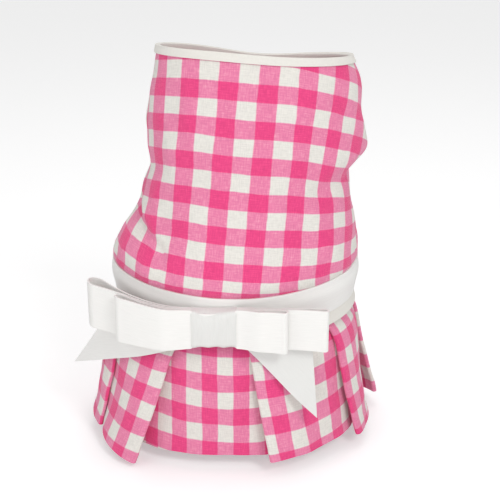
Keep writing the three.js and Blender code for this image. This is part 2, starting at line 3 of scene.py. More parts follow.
import bpy
import numpy as np
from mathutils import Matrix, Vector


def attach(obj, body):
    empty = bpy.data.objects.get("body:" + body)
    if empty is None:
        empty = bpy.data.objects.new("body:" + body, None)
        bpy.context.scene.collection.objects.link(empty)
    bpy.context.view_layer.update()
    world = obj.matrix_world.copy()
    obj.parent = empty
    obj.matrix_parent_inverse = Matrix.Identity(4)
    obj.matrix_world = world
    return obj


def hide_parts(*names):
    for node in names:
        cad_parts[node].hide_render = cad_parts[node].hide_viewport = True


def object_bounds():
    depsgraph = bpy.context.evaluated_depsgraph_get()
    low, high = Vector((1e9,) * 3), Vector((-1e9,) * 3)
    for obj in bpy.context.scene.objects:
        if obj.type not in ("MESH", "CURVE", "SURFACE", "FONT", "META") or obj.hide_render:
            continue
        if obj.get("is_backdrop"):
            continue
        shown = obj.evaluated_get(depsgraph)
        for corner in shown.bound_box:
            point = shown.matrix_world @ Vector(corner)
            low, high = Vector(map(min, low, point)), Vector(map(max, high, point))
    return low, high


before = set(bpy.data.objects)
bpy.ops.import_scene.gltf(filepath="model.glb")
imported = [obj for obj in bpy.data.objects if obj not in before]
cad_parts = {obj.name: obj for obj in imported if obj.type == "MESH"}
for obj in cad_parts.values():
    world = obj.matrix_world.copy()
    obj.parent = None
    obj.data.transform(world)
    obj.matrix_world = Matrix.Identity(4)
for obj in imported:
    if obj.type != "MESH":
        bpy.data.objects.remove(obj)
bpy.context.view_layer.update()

# Dog dress: gingham bodice and pleated skirt, bound edges, satin sash and a double ribbon bow.
# Sizes are in millimetres and are turned into metres where a mesh is made. The origin is the
# middle of the neck opening, -Y is the side with the bow and +Z is up.

MM = 0.001


def named_rows(names, *values):
    """Table with named columns, from a heading and a tuple of values for each row."""
    return [dict(zip(names.split(), row)) for row in values]


# Cloth, ribbon and clearance
CLOTH_WALL = 1.2
RIBBON_WALL = 1.0
BINDING_WALL = 1.0
GAP = 0.4

# Reach of the tube from its centre line
NECK_REACH = {"left": 63, "right": 63, "front": 41, "back": 38}
WAIST_REACH = {"left": 79.3, "right": 79.3, "front": 61.1, "back": 53}
HEM_REACH = {"left": 101, "right": 93, "front": 75, "back": 68}
SQUARENESS = 2.2

# Heights
BODICE_LENGTH = 151.5
SEAM_ALLOWANCE = 12.6
SKIRT_LENGTH = 92
NECK_TILT = 3.5
NECK_BACK_DROP = 12
NECK_SIDE_RISE = 3
WAIST_TILT = 4
WAIST_RISE = 6
LEAN = 13
FOLD_FADE = 0.08

# Bindings and leg openings
BINDING_WIDTH = 4.2
BINDING_SLOT = 0.30
LEG_WIDTH, LEG_HEIGHT = 36, 44
LEG_ANGLE = 115
LEG_DROP = 52
LEG_BINDING_WIDTH = 5
LEG_BINDING_SLOT = 0.35
BINDING_CROWN = 0.35

# Sash and waistband
SASH_WIDTH = 21
SASH_BULGE = 2.6
WAISTBAND_WIDTH = 21.5
WAISTBAND_DROP = 8.5
WAISTBAND_FLARE = 2.4

# Pleats
PLEAT_UNDERLAP = 16
PLEAT_GAP = 0.9
SKIRT_EASE = 0.2
PLEAT_LIFT = 10
PLEAT_SAG = 8
FRONT_SAG = 0.35

# Bow
RIBBON_WIDTH = 28
BOW_OFFSET = 26
BOW_DROP = 15
BOW_LEFT_REACH, BOW_RIGHT_REACH = 70, 71
BOW_LEFT_BEND, BOW_RIGHT_BEND = 30, -3
BOW_LEFT_RISE = 4.5
BOW_LEFT_SPREAD = 1.10
BOW_NARROW = 0.95
LOOP_PUFF = 2.2
KNOT_WIDTH, KNOT_HEIGHT = 29, 25
TAIL_LEFT_REACH, TAIL_RIGHT_REACH = 93, 67.5
TAIL_LEAN = 0.17
TAIL_LEAN_START = 0.75

# Waves and puckers of the cloth
WAVE_BEND, WAVE_BEND_TURN, WAVE_SLANT = 210, 0.8, 0.6
WAVE_START = 40
TUCK_PITCH = 8.5
TUCK_HEIGHT = 0.4
TUCK_LENGTH = 12
TUCK_WANDER, TUCK_WANDER_TUCKS = 1.4, 5.3
TUCK_EVENNESS, TUCK_SWELL_TUCKS = 0.6, 3.1

# Gingham: width and height of one check on the bodice and on the skirt
BODICE_CHECK = (12.4, 11.4)
SKIRT_CHECK = (10.4, 11.9)

# Sections of the bodice from the neck (down 0) to the waist (down 1)
BODICE_SECTIONS = named_rows(
    "down waist left right front back",
    (0.00, 0.00, 1.000, 1.000, 1.000, 1.000),
    (0.10, 0.05, 1.003, 1.098, 1.050, 1.020),
    (0.25, 0.15, 1.008, 1.124, 1.085, 1.030),
    (0.42, 0.30, 0.955, 1.158, 1.072, 1.010),
    (0.53, 0.40, 0.896, 1.030, 1.050, 1.010),
    (0.62, 0.50, 0.917, 1.016, 1.049, 1.020),
    (0.77, 0.75, 0.937, 1.033, 1.060, 1.045),
    (0.87, 0.95, 1.005, 1.032, 1.105, 1.090),
    (0.94, 1.00, 1.054, 1.044, 1.137, 1.130),
    (0.98, 1.00, 1.050, 1.045, 1.090, 1.090),
    (1.00, 1.00, 1.000, 1.000, 1.000, 1.000),
)

# Folds of the bodice: a line from one angle and height to another, with the width of the fold, how
# far it raises the cloth along the line, and how far it raises it above the line and sinks it below
BODICE_FOLDS = named_rows(
    "name angles downs width height step",
    ("left crease", (-86, -44), (0.7, 0.83), 5.3, -2.0, 3.7),
    ("left roll", (-84, -50), (0.83, 0.92), 7.4,  2.0, 0.0),
    ("right pinch", (88, 52), (0.54, 0.6), 6.6, -1.2, 0.8),
    ("right roll", (90, 58), (0.42, 0.46), 9.0,  1.2, 0.0),
)

# Shallow waves of the cloth: wavelengths across and down, where each starts in its turn, and height
CLOTH_WAVES = named_rows(
    "across down shift height",
    ( 46.0, 150, 0.4, 0.42),
    (-31.0,  64, 2.1, 0.30),
    ( 90.0,  23, 1.3, 0.20),
    ( 19.0, -52, 4.0, 0.14),
    ( 12.5,  33, 5.2, 0.07),
)

# Sections of the sash from its upper edge to its lower one: how far it bulges
SASH_SECTIONS = named_rows(
    "down bulge",
    (0.00, 0.7),
    (0.30, 1.0),
    (0.65, 0.5),
    (1.00, 0.0),
)

# Sections of the skirt from the seam (down 0) to the hem (down 1)
SKIRT_SECTIONS = named_rows(
    "down flare lift",
    (0.00, 0.00, 0.00),
    (0.17, 0.00, 0.00),
    (0.24, 0.34, 0.04),
    (0.33, 0.54, 0.12),
    (0.50, 0.64, 0.30),
    (0.75, 0.79, 0.62),
    (1.00, 1.00, 1.00),
)

# The front panel lies between the first fold of each side.
RIGHT_PLEATS = named_rows(
    "waist hem lift sag checks rows wide tall",
    (  7,  18, 1.0, 0.20, 1.9, 1.04, 1.08, 1.05),
    ( 55,  63, 0.6, 0.25, 0.8, 0.20, 0.80, 1.00),
    ( 98, 100, 1.3, 0.20, 0.2, 0.20, 1.00, 1.00),
    (142, 140, 0.6, 0.20, 0.9, 0.20, 1.00, 1.00),
)
LEFT_PLEATS = named_rows(
    "waist hem lift sag checks rows wide tall",
    ( 30,  46, 1.4, 1.1, 1.5, -0.15, 1, 1),
    ( 64,  72, 0.3, 0.2, 1.4,  0.20, 1, 1),
    (102, 106, 0.5, 0.1, 0.7,  0.20, 1, 1),
    (142, 140, 0.6, 0.2, 0.1,  0.20, 1, 1),
)
FRONT_PANEL = {"checks": 0.59, "rows": 1.15}

# Loops of the bow: reach to each side, layer counted out from the sash, and how far the rear and
# the front puff out and each end opens, as shares of LOOP_PUFF
LOOPS = named_rows(
    "name node left right layer rear_puff front_puff left_open right_open",
    ("back_loop_ribbon", "bow_back_loops", BOW_LEFT_REACH, BOW_RIGHT_REACH, 2, 0.5, 0.9, 3.6, 0.8),
    ("front_loop_ribbon", "bow_front_loops", 53, 45, 4, 1.3, 1.9, 1.2, 0.8),
)
OPEN_START = 0.7

# Edges of the tails: along as a share of the reach, drop as a share of the ribbon's width
LEFT_TAIL = named_rows(
    "low_along low_drop high_along high_drop",
    (0.02, 0.34, 0.02, -0.34),
    (0.16, 0.36, 0.16, -0.34),
    (0.26, 0.57, 0.26, -0.42),
    (0.46, 0.90, 0.42, -0.22),
    (0.68, 1.31, 0.59,  0.07),
    (0.86, 1.77, 0.70,  0.22),
    (1.00, 2.20, 0.77,  0.34),
)
RIGHT_TAIL = named_rows(
    "low_along low_drop high_along high_drop",
    (0.03, 0.34, 0.03, -0.34),
    (0.22, 0.36, 0.22, -0.34),
    (0.34, 0.65, 0.50, -0.34),
    (0.55, 1.16, 0.72,  0.02),
    (0.78, 1.72, 0.86,  0.36),
    (1.00, 2.18, 0.94,  0.59),
)


# Numbers and tables

def mix(a, b, share):
    return a + (b - a) * share


def smooth(share):
    s = np.clip(share, 0, 1)
    return s * s * (3 - 2 * s)


def rising(value, start, span):
    """0 up to start and 1 from start + span on, with a smooth rise between."""
    return smooth((value - start) / span)


def bell(value, centre, width):
    return np.exp(-(((value - centre) / width) ** 2))


def running(steps):
    """Distance along steps, from 0."""
    return np.concatenate([[0], np.cumsum(steps)])


def around(count):
    """Angles once round the dress."""
    return np.linspace(0, 2 * math.pi, count, endpoint=False)


def column(table, name, at, key="down"):
    """Value of a table's column at a height, on one smooth curve through its rows."""
    xs = np.array([row[key] for row in table], float)
    ys = np.array([row[name] for row in table], float)
    at = np.asarray(at, float)
    low = np.clip(np.searchsorted(xs, at, side="right") - 1, 0, len(xs) - 2)
    before = np.maximum(np.arange(len(xs)) - 1, 0)
    after = np.minimum(np.arange(len(xs)) + 1, len(xs) - 1)
    slopes = (ys[after] - ys[before]) / (xs[after] - xs[before])
    step = xs[low + 1] - xs[low]
    s = np.clip((at - xs[low]) / step, 0, 1)
    curve = (2 * s**3 - 3 * s**2 + 1) * ys[low] + (3 * s**2 - 2 * s**3) * ys[low + 1]
    bend = (s**3 - 2 * s**2 + s) * slopes[low] * step + (s**3 - s**2) * slopes[low + 1] * step
    return np.where(ys[low + 1] == ys[low], ys[low], curve + bend)


def oval_reach(angle, left, right, front, back):
    across, ahead = np.sin(angle), np.cos(angle)
    side = np.where(across < 0, left, right)
    depth = np.where(ahead < 0, back, front)
    total = np.abs(across / side) ** SQUARENESS + np.abs(ahead / depth) ** SQUARENESS
    return total ** (-1 / SQUARENESS)


def polar(angle, reach, centre, height):
    x, y, z = np.broadcast_arrays(centre + reach * np.sin(angle), -reach * np.cos(angle), height)
    return np.stack([x, y, z], axis=-1)


def neck_height(angle):
    tilted = -NECK_TILT * np.sin(angle) - NECK_BACK_DROP * (1 - np.cos(angle)) / 2
    return tilted + NECK_SIDE_RISE * np.sin(angle) ** 2


def waist_height(angle):
    return -BODICE_LENGTH + WAIST_TILT * (1 - np.cos(angle)) + WAIST_RISE * np.sin(angle) ** 2


def waist_point(angle, offset, drop):
    reach = {name: length + offset for name, length in WAIST_REACH.items()}
    return polar(angle, oval_reach(angle, **reach), -LEAN, waist_height(angle) - drop)


# Bodice surface

def fold_height(angle, down, girth):
    """How far the folds raise the cloth. All three have a value for each place on it."""
    height = np.zeros(angle.shape)
    for fold in BODICE_FOLDS:
        start, end = (math.radians(turn) for turn in fold["angles"])
        top, bottom = (share * BODICE_LENGTH for share in fold["downs"])
        line = np.stack([(end - start) * girth, np.full_like(girth, bottom - top)], -1)
        here = np.stack([(angle - start) * girth, down * BODICE_LENGTH - top], -1)
        length = np.linalg.norm(line, axis=-1)
        along = (here * line).sum(-1) / length**2
        aside = (here[..., 0] * line[..., 1] - here[..., 1] * line[..., 0]) / length
        past = np.maximum(0, np.maximum(along - 1, -along)) * length / fold["width"]
        bump = fold["height"] + fold["step"] * aside / fold["width"]
        height += bump * bell(aside, 0, fold["width"]) * np.exp(-past**2)
    return height


def cloth_waves(across, down):
    """Height of the cloth's shallow waves at a place on it."""
    bend = WAVE_BEND_TURN * np.sin(2 * math.pi * (across + WAVE_SLANT * down) / WAVE_BEND)
    height = 0
    for wave in CLOTH_WAVES:
        turn = 2 * math.pi * (across / wave["across"] + down / wave["down"])
        height = height + wave["height"] * np.sin(turn + wave["shift"] + bend)
    return height


def waist_tucks(across, above):
    """Small puckers that the waist seam draws into the cloth above it."""
    turn = 2 * math.pi * across / TUCK_PITCH
    wander = TUCK_WANDER * np.sin(turn / TUCK_WANDER_TUCKS)
    uneven = mix(np.sin(turn / TUCK_SWELL_TUCKS), 1, TUCK_EVENNESS)
    return TUCK_HEIGHT * np.sin(turn + wander) * uneven * bell(above, TUCK_LENGTH / 2, TUCK_LENGTH)


def bodice_reach(down):
    waist = column(BODICE_SECTIONS, "waist", down)
    part = {name: column(BODICE_SECTIONS, name, down) for name in NECK_REACH}
    return {name: mix(NECK_REACH[name], WAIST_REACH[name], waist) * part[name] for name in part}


def bodice_point(angle, down):
    angle, down = np.broadcast_arrays(np.asarray(angle, float), np.asarray(down, float))
    share = np.minimum(down, 1)
    reach = oval_reach(angle, **bodice_reach(share)) - CLOTH_WALL / 2
    height = mix(neck_height(angle), waist_height(angle), share)
    height = height - np.maximum(0, down - 1) * BODICE_LENGTH
    signed = np.arctan2(np.sin(angle), np.cos(angle))
    across, from_neck = signed * NECK_REACH["left"], share * BODICE_LENGTH
    fold = fold_height(signed, share, reach)
    fold = fold + cloth_waves(across, from_neck) * smooth(from_neck / WAVE_START)
    fold = fold + waist_tucks(across, BODICE_LENGTH - from_neck)
    fold = fold * smooth((1 - share) / FOLD_FADE)
    return polar(angle, reach + fold, -LEAN * share, height)


# Meshes from grids of points

SHARP_ANGLE = math.radians(50)
TINY = 1e-9


def unit(vectors):
    return vectors / np.maximum(np.linalg.norm(vectors, axis=-1, keepdims=True), TINY)


def both_ways(grid):
    """Direction down a grid at each row, from the rows before and after it."""
    steps = unit(grid[1:] - grid[:-1])
    return np.concatenate([steps, steps[-1:]]) + np.concatenate([steps[:1], steps])


def grid_normals(grid, closed):
    """Direction across a sheet at each point of its grid."""
    if closed:
        along = unit(grid - np.roll(grid, 1, axis=1)) + unit(np.roll(grid, -1, axis=1) - grid)
    else:
        along = both_ways(grid.swapaxes(0, 1)).swapaxes(0, 1)
    return unit(np.cross(both_ways(grid), along))


def sheet_piece(name, grid, wall, closed, uv, material, keep=None):
    """Closed skin on both sides of a grid of points, with rims.

    A closed grid's uv has one column more than the grid. keep says which cells there are."""
    out = grid_normals(grid, closed) * wall / 2
    rows, columns = grid.shape[:2]
    spans = columns if closed else columns - 1
    keep = np.ones((rows - 1, spans), bool) if keep is None else keep
    points = np.concatenate([(grid + out).reshape(-1, 3), (grid - out).reshape(-1, 3)])
    size = rows * columns
    faces, corners = [], []

    def at(i, j, side):
        return side * size + i * columns + j % columns

    def quad(places):
        faces.append([at(i, j, side) for i, j, side in places])
        corners.extend(uv[i, j] for i, j, side in places)

    def kept(i, j):
        if closed:
            j %= spans
        return 0 <= i < rows - 1 and 0 <= j < spans and keep[i, j]

    for i in range(rows - 1):
        for j in range(spans):
            if not keep[i, j]:
                continue
            quad([(i, j, 0), (i + 1, j, 0), (i + 1, j + 1, 0), (i, j + 1, 0)])
            quad([(i, j, 1), (i, j + 1, 1), (i + 1, j + 1, 1), (i + 1, j, 1)])
            if not kept(i - 1, j):
                quad([(i, j, 0), (i, j + 1, 0), (i, j + 1, 1), (i, j, 1)])
            if not kept(i + 1, j):
                quad([(i + 1, j, 0), (i + 1, j, 1), (i + 1, j + 1, 1), (i + 1, j + 1, 0)])
            if not kept(i, j - 1):
                quad([(i, j, 0), (i, j, 1), (i + 1, j, 1), (i + 1, j, 0)])
            if not kept(i, j + 1):
                quad([(i, j + 1, 0), (i + 1, j + 1, 0), (i + 1, j + 1, 1), (i, j + 1, 1)])
    return mesh_piece(name, points, faces, corners, material)


def mesh_piece(name, points, faces, corners, material):
    used = sorted({index for face in faces for index in face})
    place = {old: new for new, old in enumerate(used)}
    mesh = bpy.data.meshes.new(name)
    corners_of = [[place[index] for index in face] for face in faces]
    mesh.from_pydata([tuple(points[index] * MM) for index in used], [], corners_of)
    layer = mesh.uv_layers.new(name="UVMap")
    layer.data.foreach_set("uv", np.asarray(corners, float).reshape(-1))
    mesh.shade_smooth()
    mesh.set_sharp_from_angle(angle=SHARP_ANGLE)
    mesh.materials.append(material)
    piece = bpy.data.objects.new(name, mesh)
    bpy.context.collection.objects.link(piece)
    return piece


def dress(piece, nodes):
    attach(piece, "root")
    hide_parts(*nodes)
    return piece


# Materials

class Shader:
    """Short way to add and join nodes of one material."""

    def __init__(self, name):
        self.material = bpy.data.materials.new(name)
        self.material.use_nodes = True
        self.tree = self.material.node_tree
        self.surface = self.tree.nodes["Principled BSDF"]

    def add(self, kind, inputs=(), **settings):
        made = self.tree.nodes.new("ShaderNode" + kind)
        for key, value in settings.items():
            setattr(made, key, value)
        for key, value in dict(inputs).items():
            self.put(made.inputs[key], value)
        return made

    def put(self, socket, value):
        if isinstance(value, bpy.types.NodeSocket):
            self.tree.links.new(value, socket)
        else:
            socket.default_value = value

    def math(self, operation, a, b=0.0, c=0.0):
        return self.add("Math", {0: a, 1: b, 2: c}, operation=operation).outputs[0]

    def step(self, value, low, high):
        inputs = {"Value": value, "From Min": low, "From Max": high}
        return self.add("MapRange", inputs, interpolation_type="SMOOTHSTEP").outputs[0]

    def blend(self, share, first, second, mode="MIX"):
        made = self.add("Mix", data_type="RGBA", blend_type=mode)
        self.put(made.inputs[0], share)
        self.put(made.inputs[6], first)
        self.put(made.inputs[7], second)
        return made.outputs[2]

    def uv(self):
        return self.add("UVMap", uv_map="UVMap").outputs[0]

    def parts(self, vector):
        made = self.add("SeparateXYZ", {0: vector})
        return made.outputs[0], made.outputs[1]

    def drawn(self, vector, **settings):
        return self.add("Mapping", {"Vector": vector, **settings}).outputs[0]

    def noise(self, vector, scale, detail, output=0):
        return self.add("TexNoise", {"Vector": vector, "Scale": scale, "Detail": detail}).outputs[output]

    def waves(self, value, length):
        return self.math("SINE", self.math("MULTIPLY", value, 2 * math.pi / length))

    def weave(self, parts, length):
        return self.math("MULTIPLY", self.waves(parts[0], length), self.waves(parts[1], length))

    def scaled(self, value, low, high, start=0.0, end=1.0):
        """A value between start and end, taken to low and high."""
        inputs = {"Value": value, "From Min": start, "From Max": end, "To Min": low, "To Max": high}
        return self.add("MapRange", inputs).outputs[0]

    def tinted(self, base, share):
        """A colour made lighter or darker by a share."""
        shade = self.add("CombineColor", {0: share, 1: share, 2: share}).outputs[0]
        return self.blend(1.0, base, shade, "MULTIPLY")

    def relief(self, height, strength, distance):
        inputs = {"Strength": strength, "Distance": distance, "Height": height}
        return self.add("Bump", inputs).outputs[0]

    def finish(self, **inputs):
        for key, value in inputs.items():
            self.put(self.surface.inputs[key.replace("_", " ")], value)
        return self.material


def colour(red, green, blue):
    """Linear colour from the usual 0 to 255 values."""
    def linear(value):
        value /= 255
        return value / 12.92 if value <= 0.04045 else ((value + 0.055) / 1.055) ** 2.4
    return (linear(red), linear(green), linear(blue), 1.0)


WHITE_COTTON = colour(234, 231, 224)
MID_PINK = colour(239, 132, 172)
DARK_PINK = colour(239, 72, 135)
SATIN_WHITE = colour(242, 241, 238)
# Satin white darkened to paint the shade that falls on the knot and the right tail: painted shade
SATIN_PAINTED_SHADE_COLOUR = colour(226, 226, 223)

# Gingham, counted in checks
CHECK_WANDER = named_rows(
    "scale amount",
    (0.4, 0.200),
    (2.6, 0.035),
)
STRIPE_EDGE = 0.035
GINGHAM_THREAD = 1 / 30
YARN_FINE, YARN_LONG = 17.0, 2.2
YARN_PALE, YARN_PALE_FROM, YARN_PALE_TO = 0.30, 0.5, 0.72
YARN_HIDDEN, YARN_HIDDEN_FROM, YARN_HIDDEN_TO = 0.85, 0.55, 0.95
YARN_TINT, YARN_TINT_RANGE = (0.86, 1.08), (0.3, 0.7)
THREAD_TINT = 0.04

# Satin and binding, in millimetres
SATIN_RIB = 0.55
SATIN_STREAKS = (0.05, 0.9, 1.0)
# Shares that darken and lighten the satin's colour along its streaks: painted sheen
SATIN_PAINTED_SHEEN = (0.93, 1.04)
SATIN_ROUGHNESS = (0.36, 0.5)
BIAS = math.radians(45)
BINDING_THREAD = 0.45
BINDING_TINT = (0.94, 1.04)
STITCH_LINE, STITCH_HALF_WIDTH = 1.1, 0.16
STITCH_PITCH, STITCH_SHARE = 2.4, 0.78
STITCH_HEIGHT, STITCH_PULL = 1.4, 0.8


def wandering(shader, uv):
    """Places in the checks, moved a little as the woven stripes wander."""
    moved = uv
    for wander in CHECK_WANDER:
        noise = shader.noise(uv, wander["scale"], 2.0, "Color")
        middle = {0: noise, 1: (0.5, 0.5, 0.5)}
        shift = shader.add("VectorMath", middle, operation="SUBTRACT").outputs[0]
        inputs = {0: shift, 1: (wander["amount"], wander["amount"], 0.0), 2: moved}
        moved = shader.add("VectorMath", inputs, operation="MULTIPLY_ADD").outputs[0]
    return moved


def stripe_share(shader, parts):
    """0 where no stripe is, a half on one stripe and 1 where two cross."""
    stripes = []
    for part in parts:
        wave = shader.math("PINGPONG", part, 1.0)
        stripes.append(shader.step(wave, 0.5 - STRIPE_EDGE, 0.5 + STRIPE_EDGE))
    return shader.math("MULTIPLY", shader.math("ADD", *stripes), 0.5)


def check_colour(shader, share):
    made = shader.add("ValToRGB", {0: share})
    stops = made.color_ramp.elements
    stops[0].color = WHITE_COTTON
    stops[1].color = DARK_PINK
    stops.new(0.5).color = MID_PINK
    return made.outputs[0]


def yarns(shader, uv):
    """Uneven yarns that run along both ways of the cloth."""
    both = []
    for scale in ((YARN_FINE, YARN_LONG, 1.0), (YARN_LONG, YARN_FINE, 1.0)):
        both.append(shader.noise(shader.drawn(uv, Scale=scale), 1.0, 3.0))
    return shader.math("MULTIPLY", shader.math("ADD", *both), 0.5)


def gingham_material():
    shader = Shader("gingham")
    uv = shader.uv()
    parts = shader.parts(wandering(shader, uv))
    share = stripe_share(shader, parts)
    weave = shader.weave(parts, GINGHAM_THREAD)
    fleck = yarns(shader, uv)
    pale = shader.scaled(fleck, 0.0, YARN_PALE, YARN_PALE_FROM, YARN_PALE_TO)
    dark = shader.step(share, YARN_HIDDEN_FROM, YARN_HIDDEN_TO)
    pale = shader.math("MULTIPLY", pale, shader.math("MULTIPLY_ADD", dark, -YARN_HIDDEN, 1.0))
    mottled = shader.blend(pale, check_colour(shader, share), WHITE_COTTON)
    tint = shader.scaled(fleck, *YARN_TINT, *YARN_TINT_RANGE)
    grain = shader.math("MULTIPLY_ADD", weave, THREAD_TINT, tint)
    height = shader.math("MULTIPLY_ADD", weave, 0.5, fleck)
    return shader.finish(
        Base_Color=shader.tinted(mottled, grain), Roughness=0.82,
        Normal=shader.relief(height, 0.35, 0.0004),
        Sheen_Weight=0.25, Sheen_Roughness=0.5, Specular_IOR_Level=0.25,
    )


def satin_material(name, base):
    """Satin with its threads along u, the ribbon's length, and painted sheen streaks along them in its
    colour; the same streaks also vary its roughness and bump.
    """
    shader = Shader(name)
    uv = shader.uv()
    ribs = shader.waves(shader.parts(uv)[1], SATIN_RIB)
    noise = shader.noise(shader.drawn(uv, Scale=SATIN_STREAKS), 2.0, 3.0)
    height = shader.math("MULTIPLY_ADD", ribs, 0.3, noise)
    return shader.finish(
        # Colour lighter and darker along the streaks: painted sheen
        Base_Color=shader.tinted(base, shader.scaled(noise, *SATIN_PAINTED_SHEEN)),
        Roughness=shader.scaled(noise, *SATIN_ROUGHNESS),
        Normal=shader.relief(height, 0.2, 0.0002),
        Sheen_Weight=0.3, Sheen_Roughness=0.3, Anisotropic=0.5,
    )


def binding_material():
    """Cotton cut on the slant, with a line of stitches along one edge."""
    shader = Shader("binding")
    uv = shader.uv()
    slant = shader.drawn(uv, Rotation=(0.0, 0.0, BIAS))
    weave = shader.weave(shader.parts(slant), BINDING_THREAD)
    noise = shader.noise(uv, 0.6, 4.0)
    along, across = shader.parts(uv)
    aside = shader.math("ABSOLUTE", shader.math("SUBTRACT", across, STITCH_LINE))
    on_line = shader.math("LESS_THAN", aside, STITCH_HALF_WIDTH)
    place = shader.math("FRACT", shader.math("DIVIDE", along, STITCH_PITCH))
    stitch = shader.math("MULTIPLY", on_line, shader.math("LESS_THAN", place, STITCH_SHARE))
    height = shader.math("MULTIPLY_ADD", weave, 0.4, noise)
    height = shader.math("SUBTRACT", height, shader.math("MULTIPLY", on_line, STITCH_PULL))
    height = shader.math("MULTIPLY_ADD", stitch, STITCH_HEIGHT, height)
    return shader.finish(
        Base_Color=shader.tinted(WHITE_COTTON, shader.scaled(noise, *BINDING_TINT)), Roughness=0.8,
        Normal=shader.relief(height, 0.35, 0.0004),
        Sheen_Weight=0.2, Sheen_Roughness=0.5, Specular_IOR_Level=0.3,
    )


GINGHAM = gingham_material()
SATIN = satin_material("satin", SATIN_WHITE)
# The same satin with painted shade in its colour, for the knot and the right tail
SATIN_SHADED = satin_material("satin_shaded", SATIN_PAINTED_SHADE_COLOUR)
BINDING = binding_material()


def lengths_round(grid, start):
    """Distance along each row from a column, with one column more than the closed grid."""
    steps = np.linalg.norm(np.roll(grid, -1, axis=1) - grid, axis=-1)
    total = np.concatenate([np.zeros((len(grid), 1)), np.cumsum(steps, axis=1)], axis=1)
    return total - total[:, start:start + 1]


def lengths_down(grid):
    steps = np.linalg.norm(grid[1:] - grid[:-1], axis=-1)
    return np.concatenate([np.zeros((1, grid.shape[1])), np.cumsum(steps, axis=0)])


def wrap(values):
    return np.concatenate([values, values[:, :1]], axis=1)


# Bodice

BODICE_COLUMNS = 280
BODICE_ROWS = 130
CHECK_START = (0.20, 1.10)
LEG_MARGIN = 0.5

# How the checks lie on the bodice: angles in radians from the front, downs as shares of its length.
# A rise is a start and a span, and a bell is a centre and a width.
RIGHT_DROOP, RIGHT_DROOP_RISE = 14, (0.35, 1.3)
LEFT_DROOP, LEFT_DROOP_RISE = 5, (0.5, 1.1)
LOW_DROOP, LOW_DROOP_RISE = 0.4, (0.55, 0.35)
SIDE_GATHER, SIDE_GATHER_RISE, SIDE_GATHER_BELL = 9, (0.6, 0.6), (0.47, 0.17)
CREASE_DEGREES, CREASE_DOWN, CREASE_SLOPE, CREASE_RISE = -86, 0.70, 0.0031, (0.35, 0.5)
CREASE_BLUR, CREASE_BLUR_MORE, CREASE_BLUR_RISE = 0.02, 0.5, (1.45, 0.6)
WAIST_TUCK, WAIST_TUCK_START = 8, 0.9
BACK_EASE, BACK_START, BACK_DROOP = 1.5, 1.2, 9
HALF_CHECKS = 16


def droop_share(angle, start, span):
    return np.clip(angle - start, 0, span) ** 2


def check_rows(angle, down, along, from_back):
    """Rows of checks: drooping at the sides, and level with the waist below the left crease."""
    droop = RIGHT_DROOP * droop_share(angle, *RIGHT_DROOP_RISE)
    droop = droop * mix(1, LOW_DROOP, rising(down, *LOW_DROOP_RISE))
    droop = droop + LEFT_DROOP * droop_share(-angle, *LEFT_DROOP_RISE)
    droop = mix(BACK_DROOP, droop, from_back)
    from_waist = along - along[-2:-1] + along[-2, BODICE_COLUMNS // 2]
    crease = CREASE_DOWN + CREASE_SLOPE * (np.degrees(angle) - CREASE_DEGREES)
    blur = CREASE_BLUR + CREASE_BLUR_MORE * rising(-angle, *CREASE_BLUR_RISE)
    below = rising(down, crease, blur) * rising(-angle, *CREASE_RISE) * from_back
    rows = mix(along - droop, from_waist, below) / BODICE_CHECK[1]
    return rows + WAIST_TUCK * np.maximum(0, down - WAIST_TUCK_START)


def check_columns(angle, down, across, from_back):
    """Columns of checks: gathered at the right side, and a whole number of pairs round the bodice."""
    gather = SIDE_GATHER * rising(angle, *SIDE_GATHER_RISE) * bell(down, *SIDE_GATHER_BELL) * from_back
    half_round = np.where(angle < 0, across[:, :1], across[:, -1:]) / BODICE_CHECK[0]
    behind = np.clip((np.abs(angle) - BACK_START) / (math.pi - BACK_START), 0, 1)
    return (across + gather) / BODICE_CHECK[0] + behind * (np.sign(angle) * HALF_CHECKS - half_round)


def bodice_checks(grid, downs):
    """Counts of the checks over the bodice."""
    angle = np.linspace(-math.pi, math.pi, BODICE_COLUMNS + 1)[None, :]
    down = downs[:, None]
    from_back = smooth((math.pi - np.abs(angle)) / BACK_EASE)
    columns = check_columns(angle, down, lengths_round(grid, BODICE_COLUMNS // 2), from_back)
    rows = check_rows(angle, down, wrap(lengths_down(grid)), from_back)
    return np.stack([columns + CHECK_START[0], rows + CHECK_START[1]], -1)


def leg_place(side):
    """Angle of a leg opening's middle, and the bodice's reach there."""
    centre = math.radians(side * LEG_ANGLE)
    return centre, float(oval_reach(np.array(centre), **bodice_reach(LEG_DROP / BODICE_LENGTH)))


def bodice():
    angles = np.linspace(-math.pi, math.pi, BODICE_COLUMNS, endpoint=False)
    downs = np.concatenate([np.linspace(0, 1, BODICE_ROWS), [1 + SEAM_ALLOWANCE / BODICE_LENGTH]])
    grid = bodice_point(angles[None, :], downs[:, None])
    uv = bodice_checks(grid, downs)
    keep = np.ones((len(downs) - 1, BODICE_COLUMNS), bool)
    cell_angle = angles + math.pi / BODICE_COLUMNS
    cell_down = (downs[1:] + downs[:-1]) / 2
    for side in (-1, 1):
        centre, reach = leg_place(side)
        aside = (cell_angle[None, :] - centre) * reach / (LEG_WIDTH / 2 + LEG_MARGIN)
        below = (cell_down[:, None] * BODICE_LENGTH - LEG_DROP) / (LEG_HEIGHT / 2 + LEG_MARGIN)
        keep &= aside**2 + below**2 > 1
    piece = sheet_piece("bodice_cloth", grid, CLOTH_WALL, True, uv, GINGHAM, keep)
    return dress(piece, ["bodice"])


# Bindings

BINDING_BEND, BINDING_CORNER = 0.6 * BINDING_WALL, 0.18 * BINDING_WALL
CROWN_SHARES = (1.0, 0.9, 0.75, 0.5, 0.25, 0.0)
NECK_COLUMNS, LEG_COLUMNS = 200, 120
NORMAL_STEP = 0.01
NECK_NORMAL_DOWN = 0.02


